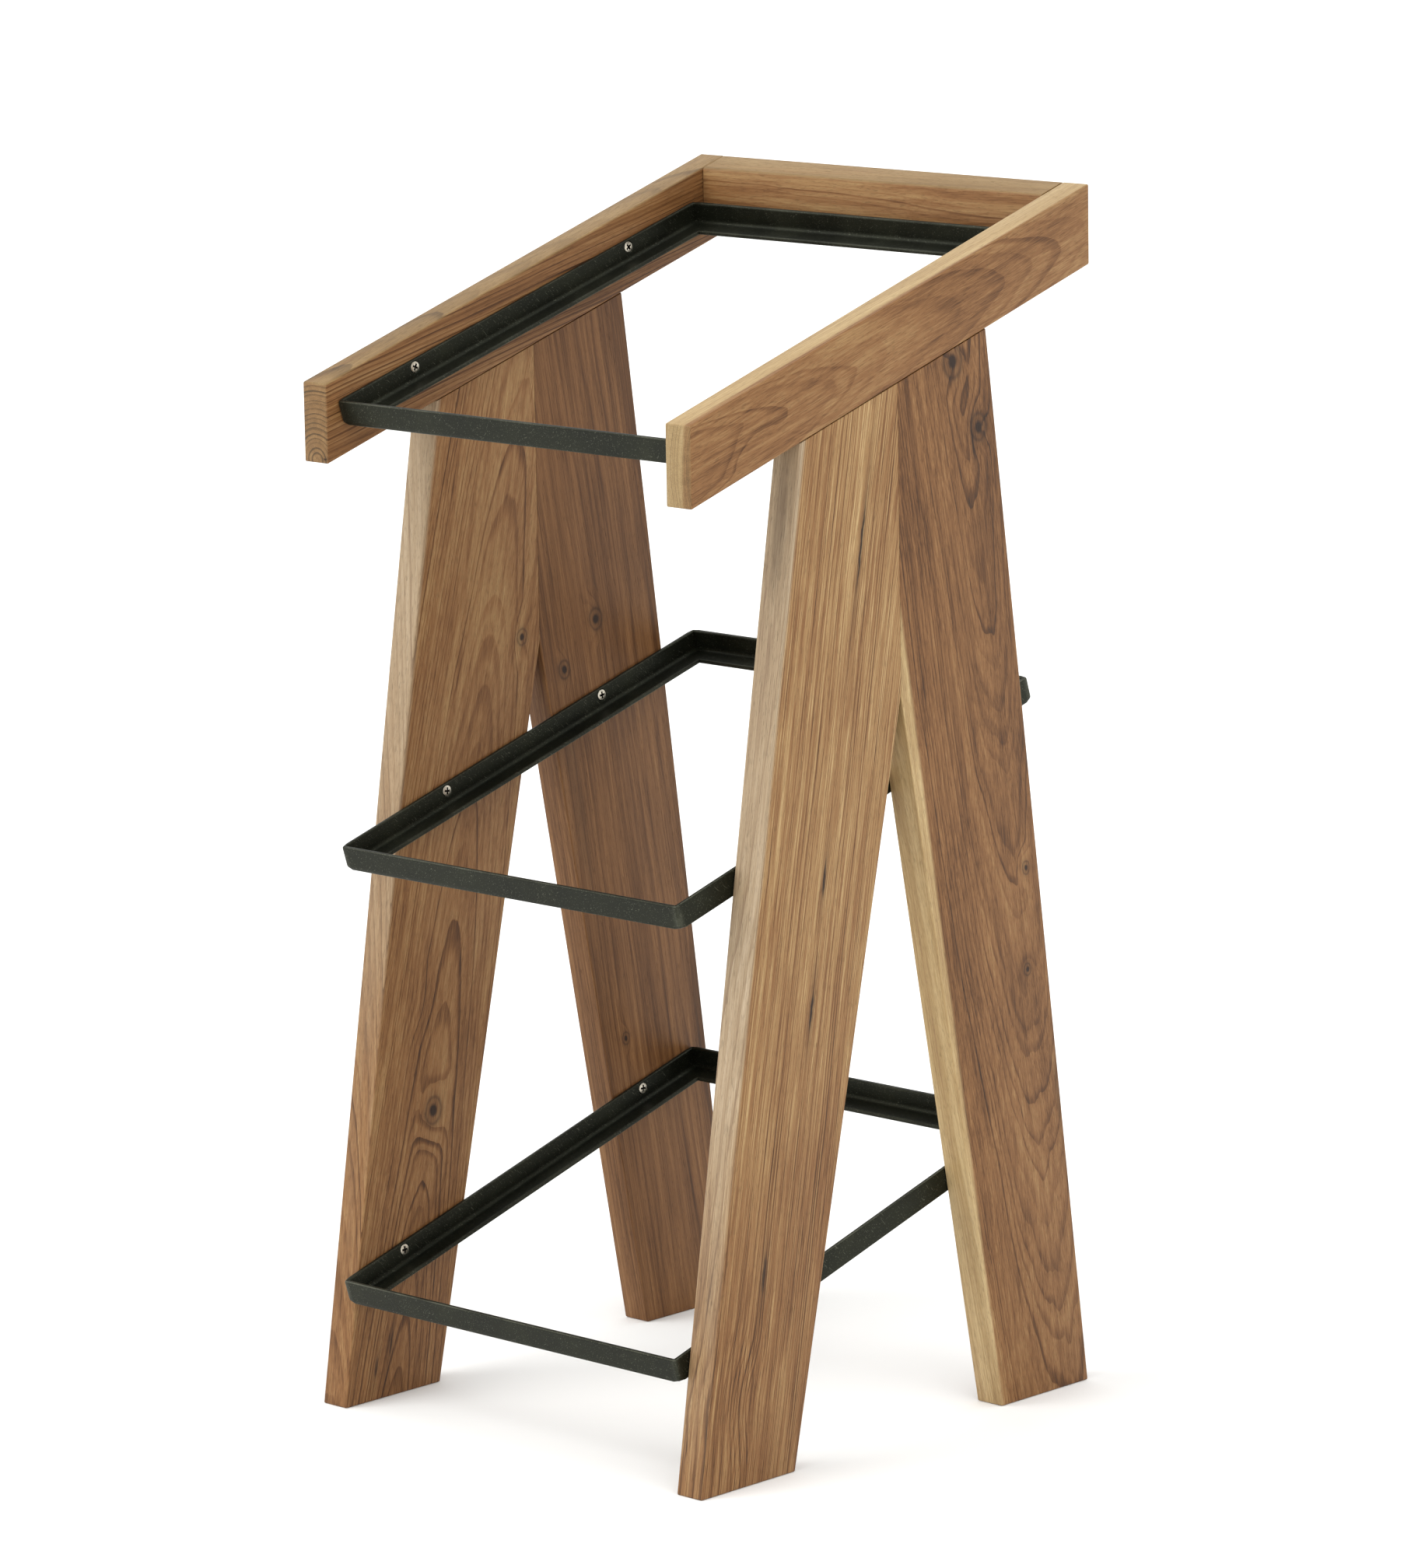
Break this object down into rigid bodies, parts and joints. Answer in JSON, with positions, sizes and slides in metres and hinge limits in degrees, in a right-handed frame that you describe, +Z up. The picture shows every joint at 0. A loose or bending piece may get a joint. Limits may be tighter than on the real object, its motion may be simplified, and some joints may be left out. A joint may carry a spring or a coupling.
{
  "type": "tiered a-frame stand",
  "caption": "Rigid tiered stand of timber A-frames under a sloping, open-fronted timber rim, with tilted steel angle frames whose ledges hold trays or baskets.",
  "frame": {"origin": "on the floor, under the middle of the bounding box", "axes": "+X to the stand's right seen from the front, +Y to the back, +Z up"},
  "size_m": [0.4, 0.4378, 0.9174],
  "materials": {
    "walnut_leg": "oiled satin",
    "walnut_rail": "oiled satin",
    "beech_dowel": "bare",
    "blackened_steel": "satin black",
    "nickel_screw": "bright"
  },
  "bodies": {
    "root": {"back_rail": "walnut_rail", "left_back_leg": "walnut_leg", "left_back_leg_top_dowel_1": "beech_dowel", "left_back_leg_top_dowel_2": "beech_dowel", "left_back_rail_lower_dowel": "beech_dowel", "left_back_rail_upper_dowel": "beech_dowel", "left_front_leg": "walnut_leg", "left_front_leg_top_dowel_1": "beech_dowel", "left_front_leg_top_dowel_2": "beech_dowel", "left_mitre_lower_dowel": "beech_dowel", "left_mitre_upper_dowel": "beech_dowel", "left_side_rail": "walnut_rail", "low_frame_back_bar": "blackened_steel", "low_frame_front_bar": "blackened_steel", "low_frame_left_back_screw": "nickel_screw", "low_frame_left_bar": "blackened_steel", "low_frame_left_front_screw": "nickel_screw", "low_frame_right_back_screw": "nickel_screw", "low_frame_right_bar": "blackened_steel", "low_frame_right_front_screw": "nickel_screw", "mid_frame_back_bar": "blackened_steel", "mid_frame_front_bar": "blackened_steel", "mid_frame_left_back_screw": "nickel_screw", "mid_frame_left_bar": "blackened_steel", "mid_frame_left_front_screw": "nickel_screw", "mid_frame_right_back_screw": "nickel_screw", "mid_frame_right_bar": "blackened_steel", "mid_frame_right_front_screw": "nickel_screw", "right_back_leg": "walnut_leg", "right_back_leg_top_dowel_1": "beech_dowel", "right_back_leg_top_dowel_2": "beech_dowel", "right_back_rail_lower_dowel": "beech_dowel", "right_back_rail_upper_dowel": "beech_dowel", "right_front_leg": "walnut_leg", "right_front_leg_top_dowel_1": "beech_dowel", "right_front_leg_top_dowel_2": "beech_dowel", "right_mitre_lower_dowel": "beech_dowel", "right_mitre_upper_dowel": "beech_dowel", "right_side_rail": "walnut_rail", "top_frame_back_bar": "blackened_steel", "top_frame_front_bar": "blackened_steel", "top_frame_left_back_screw": "nickel_screw", "top_frame_left_bar": "blackened_steel", "top_frame_left_front_screw": "nickel_screw", "top_frame_right_back_screw": "nickel_screw", "top_frame_right_bar": "blackened_steel", "top_frame_right_front_screw": "nickel_screw"}
  },
  "joints": []
}
